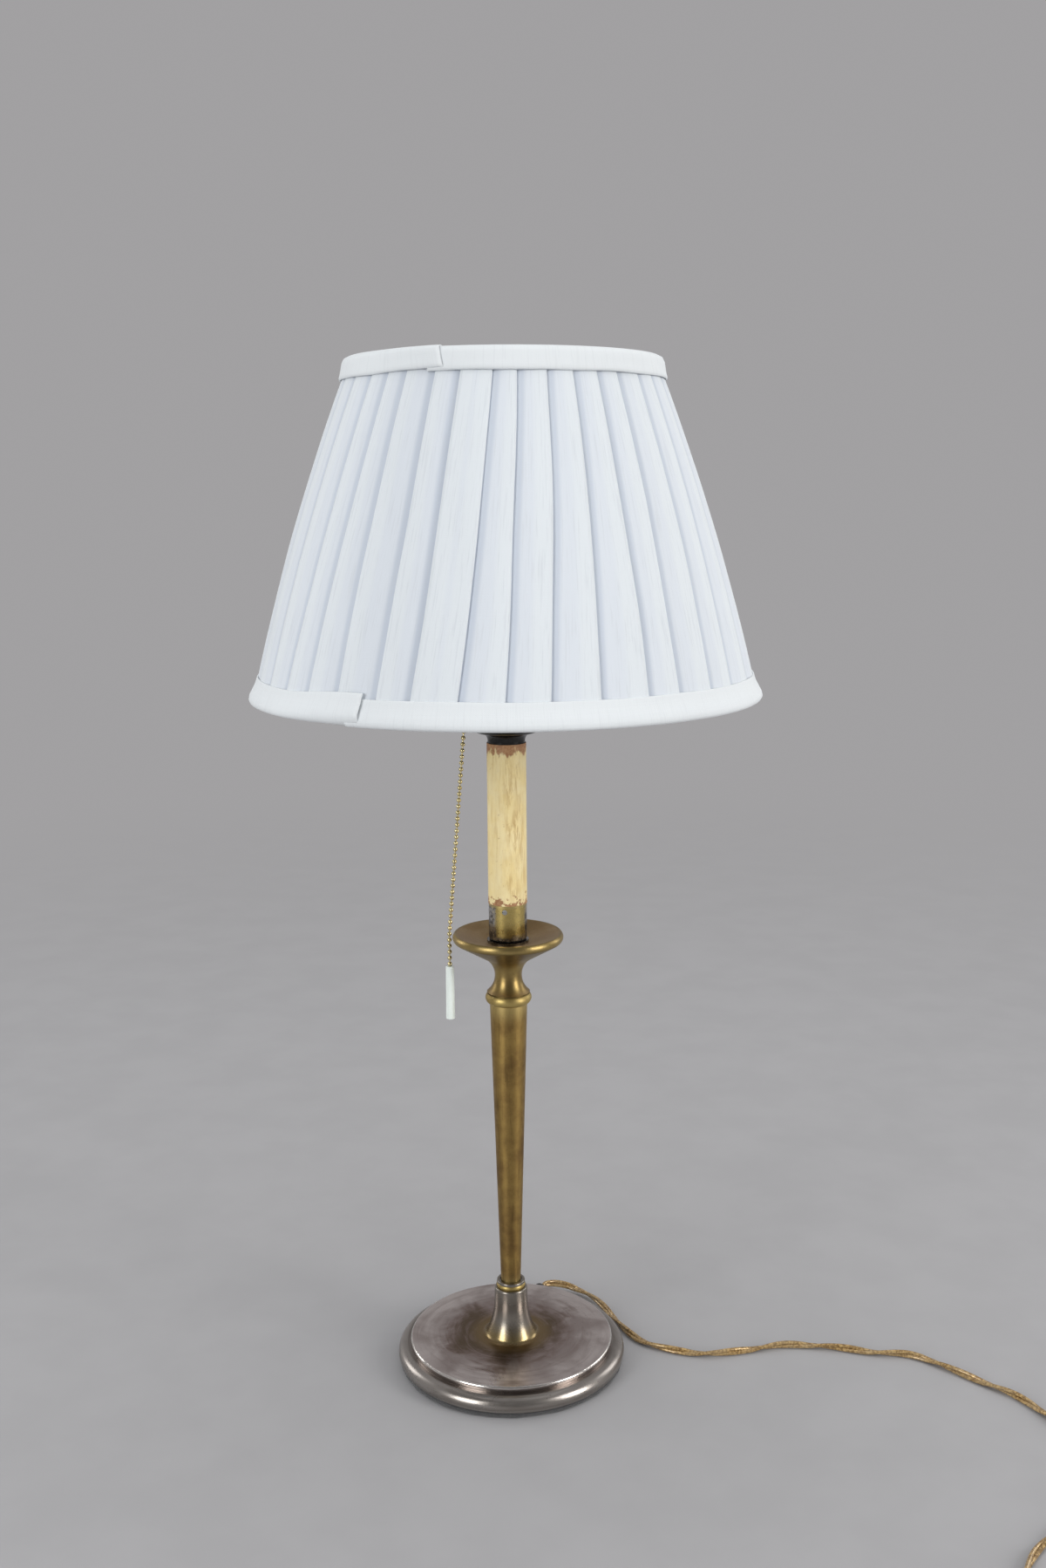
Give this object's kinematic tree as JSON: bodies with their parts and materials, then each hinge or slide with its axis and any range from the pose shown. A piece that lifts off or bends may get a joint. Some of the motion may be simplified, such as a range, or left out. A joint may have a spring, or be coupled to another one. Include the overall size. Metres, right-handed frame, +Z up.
{
  "type": "table lamp",
  "caption": "Candlestick table lamp: stepped round base, tapered brass column with drip pan and candle tube, pull-chain lampholder and pleated fabric empire shade.",
  "frame": {"origin": "on the table under the middle of the base", "axes": "+Z up the stem, front of the lamp to -Y, pull chain on the -X side"},
  "size_m": [0.4689, 0.3774, 0.5071],
  "materials": {
    "felt": "matte felt",
    "silver_plate": "worn silver plate",
    "iron": "raw casting",
    "steel": "zinc plated",
    "aged_brass": "aged brass",
    "bright_brass": "polished brass",
    "candle_paint": "cream paint on a card tube",
    "black_moulding": "glossy black moulding",
    "porcelain": "unglazed",
    "white_plastic": "smooth",
    "bulb_glass": "pearl",
    "shade_cloth": "fine weave",
    "white_wire": "white coating",
    "gold_flex": "clear gold plastic",
    "black_rubber": "matt"
  },
  "bodies": {
    "lamp": {"felt_pad": "felt", "base_shell": "silver_plate", "base_weight": "iron", "cord_grommet": "black_rubber", "tie_rod": "steel", "rod_nut": "steel", "rod_washer": "steel", "collar_ring": "aged_brass", "collar_cap": "silver_plate", "column": "aged_brass", "knop_ring": "aged_brass", "drip_pan": "aged_brass", "candle_cup": "silver_plate", "cup_screw": "steel", "candle_tube": "candle_paint", "holder_cap": "black_moulding", "holder_insert": "porcelain", "holder_skirt": "black_moulding", "screw_shell": "bright_brass", "centre_contact": "bright_brass", "terminal_screws": "bright_brass", "shade_ring": "black_moulding", "lever_pin": "steel", "return_spring": "steel", "chain_spout": "bright_brass", "bulb_tip": "steel", "bulb_base": "bright_brass", "bulb_glass": "bulb_glass", "shade_cover": "shade_cloth", "shade_bottom_band": "shade_cloth", "shade_top_band": "shade_cloth", "shade_lower_ring": "white_wire", "shade_upper_ring": "white_wire", "shade_ribs": "white_wire", "shade_fitter": "white_wire", "inner_flex": "gold_flex", "flex_cord": "gold_flex", "flex_coil": "gold_flex", "flex_tail": "gold_flex", "plug_body": "black_moulding", "plug_pins": "bright_brass"},
    "chain_top": {"chain_top": "bright_brass"},
    "chain": {"pull_chain": "bright_brass", "pull_handle": "white_plastic"},
    "lever": {"switch_lever": "bright_brass"}
  },
  "joints": [
    {"name": "chain_pull", "type": "slide", "parent": "lamp", "child": "chain_top", "axis": [-0.0823, 0, -0.9966], "range_m": [0, 0.006], "stiffness_N_per_m": 400, "springref_m": -0.003},
    {"name": "chain_swing", "type": "hinge", "parent": "chain_top", "child": "chain", "pos_m": [-0.02067, 0, 0.33289], "axis": [0, 1, 0], "range_deg": [0, 35]},
    {"name": "lever_tilt", "type": "hinge", "parent": "lamp", "child": "lever", "pos_m": [-0.0055, 0, 0.343], "axis": [0, -1, 0], "range_deg": [0, 24]}
  ],
  "couplings": [
    {"joint": "lever_tilt", "follows": "chain_pull", "rad_per_m": 69.8}
  ]
}
